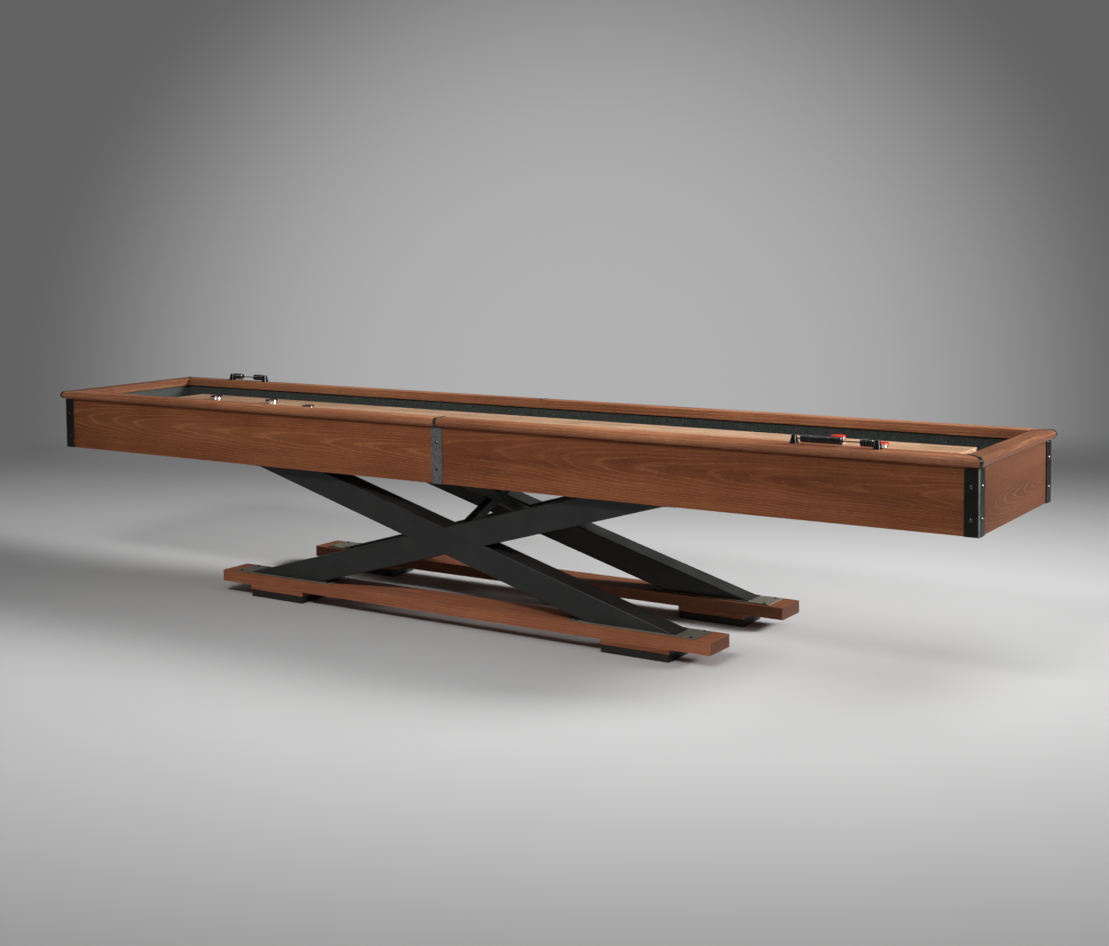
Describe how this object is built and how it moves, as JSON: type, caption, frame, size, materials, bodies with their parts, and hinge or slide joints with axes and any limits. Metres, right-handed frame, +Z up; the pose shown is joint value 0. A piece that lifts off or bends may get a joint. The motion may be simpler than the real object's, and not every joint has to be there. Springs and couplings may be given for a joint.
{
  "type": "shuffleboard table",
  "caption": "Long stained-oak shuffleboard table: maple board in a carpeted cabinet on crossed black steel legs and wooden skids, with sliding pucks and bead scorers.",
  "frame": {"origin": "on the floor under the middle of the table", "axes": "+X along the table, +Y across it away from the side with the right-hand scorer, +Z up"},
  "size_m": [4.269, 0.802, 0.8448],
  "materials": {
    "cabinet_oak": "stained open-grain oak, satin",
    "rail_oak": "stained open-grain oak, satin",
    "skid_oak": "stained oak, satin",
    "inner_wood": "plywood and softwood, unfinished",
    "maple": "laminated maple, clear gloss coat",
    "carpet": "speckled needle-punch carpet",
    "frame_steel": "black powder coat",
    "strap_steel": "dark grey powder coat",
    "band_metal": "black, worn bright at the nose",
    "bolt_steel": "black zinc",
    "zinc_steel": "plain zinc",
    "chrome": "polished",
    "black_plastic": "gloss moulded plastic",
    "red_plastic": "gloss moulded plastic",
    "pad_black": "matte black"
  },
  "bodies": {
    "table": {"side_panel_near_left": "cabinet_oak", "rail_near_left": "rail_oak", "side_panel_near_right": "cabinet_oak", "rail_near_right": "rail_oak", "leg_whole_near": "frame_steel", "leg_halves_near": "frame_steel", "skid_near": "skid_oak", "side_panel_far_left": "cabinet_oak", "rail_far_left": "rail_oak", "side_panel_far_right": "cabinet_oak", "rail_far_right": "rail_oak", "leg_whole_far": "frame_steel", "leg_halves_far": "frame_steel", "skid_far": "skid_oak", "end_panel_left": "cabinet_oak", "rail_end_left": "rail_oak", "end_panel_right": "cabinet_oak", "rail_end_right": "rail_oak", "cabinet_floor": "inner_wood", "floor_joists": "inner_wood", "board_bearers": "inner_wood", "playfield_board": "maple", "adjuster_bars": "zinc_steel", "gutter_carpet": "carpet", "rail_bands": "band_metal", "corner_brackets": "frame_steel", "splice_straps": "strap_steel", "cabinet_bolts": "bolt_steel", "foot_plates": "strap_steel", "top_plates": "frame_steel", "frame_bolts": "bolt_steel", "brace_whole": "frame_steel", "brace_halves": "frame_steel", "foot_blocks": "skid_oak", "foot_pads": "pad_black", "scorer_stands": "black_plastic", "scorer_rods": "bolt_steel"},
    "puck_black_1": {"puck_black_1_weight": "chrome", "puck_black_1_cap": "black_plastic"},
    "puck_black_2": {"puck_black_2_weight": "chrome", "puck_black_2_cap": "black_plastic"},
    "puck_black_3": {"puck_black_3_weight": "chrome", "puck_black_3_cap": "black_plastic"},
    "puck_black_4": {"puck_black_4_weight": "chrome", "puck_black_4_cap": "black_plastic"},
    "puck_red_1": {"puck_red_1_weight": "chrome", "puck_red_1_cap": "red_plastic"},
    "puck_red_2": {"puck_red_2_weight": "chrome", "puck_red_2_cap": "red_plastic"},
    "puck_red_3": {"puck_red_3_weight": "chrome", "puck_red_3_cap": "red_plastic"},
    "puck_red_4": {"puck_red_4_weight": "chrome", "puck_red_4_cap": "red_plastic"},
    "scorer_beads_near_left": {"scorer_beads_near_left": "black_plastic"},
    "scorer_beads_near_right": {"scorer_beads_near_right": "black_plastic"},
    "scorer_beads_far_left": {"scorer_beads_far_left": "black_plastic"},
    "scorer_beads_far_right": {"scorer_beads_far_right": "black_plastic"},
    "adjuster_bolt_left": {"adjuster_bolt_left": "zinc_steel"},
    "adjuster_bolt_right": {"adjuster_bolt_right": "zinc_steel"}
  },
  "joints": [
    {"name": "puck_black_1_slide", "type": "slide", "parent": "table", "child": "puck_black_1", "axis": [1, 0, 0], "range_m": [-0.2, 0.15]},
    {"name": "puck_black_2_slide", "type": "slide", "parent": "table", "child": "puck_black_2", "axis": [1, 0, 0], "range_m": [-0.133, 1.337]},
    {"name": "puck_black_3_slide", "type": "slide", "parent": "table", "child": "puck_black_3", "axis": [1, 0, 0], "range_m": [-0.854, 2.872]},
    {"name": "puck_black_4_slide", "type": "slide", "parent": "table", "child": "puck_black_4", "axis": [1, 0, 0], "range_m": [-0.383, 1.5]},
    {"name": "puck_red_1_slide", "type": "slide", "parent": "table", "child": "puck_red_1", "axis": [1, 0, 0], "range_m": [-3.262, 0.464]},
    {"name": "puck_red_2_slide", "type": "slide", "parent": "table", "child": "puck_red_2", "axis": [1, 0, 0], "range_m": [-1.515, 0.258]},
    {"name": "puck_red_3_slide", "type": "slide", "parent": "table", "child": "puck_red_3", "axis": [1, 0, 0], "range_m": [-3.363, 0.363]},
    {"name": "puck_red_4_slide", "type": "slide", "parent": "table", "child": "puck_red_4", "axis": [1, 0, 0], "range_m": [-1.63, 0.143]},
    {"name": "beads_near_left_slide", "type": "slide", "parent": "table", "child": "scorer_beads_near_left", "axis": [1, 0, 0], "range_m": [-0.012, 0.037]},
    {"name": "beads_near_right_slide", "type": "slide", "parent": "table", "child": "scorer_beads_near_right", "axis": [1, 0, 0], "range_m": [-0.023, 0]},
    {"name": "beads_far_left_slide", "type": "slide", "parent": "table", "child": "scorer_beads_far_left", "axis": [1, 0, 0], "range_m": [0, 0.041]},
    {"name": "beads_far_right_slide", "type": "slide", "parent": "table", "child": "scorer_beads_far_right", "axis": [1, 0, 0], "range_m": [-0.033, 0]},
    {"name": "adjuster_left_turn", "type": "hinge", "parent": "table", "child": "adjuster_bolt_left", "pos_m": [-1.275, 0, 0.598], "axis": [0, 0, 1], "range_deg": [-180, 180]},
    {"name": "adjuster_right_turn", "type": "hinge", "parent": "table", "child": "adjuster_bolt_right", "pos_m": [1.275, 0, 0.598], "axis": [0, 0, 1], "range_deg": [-180, 180]}
  ]
}
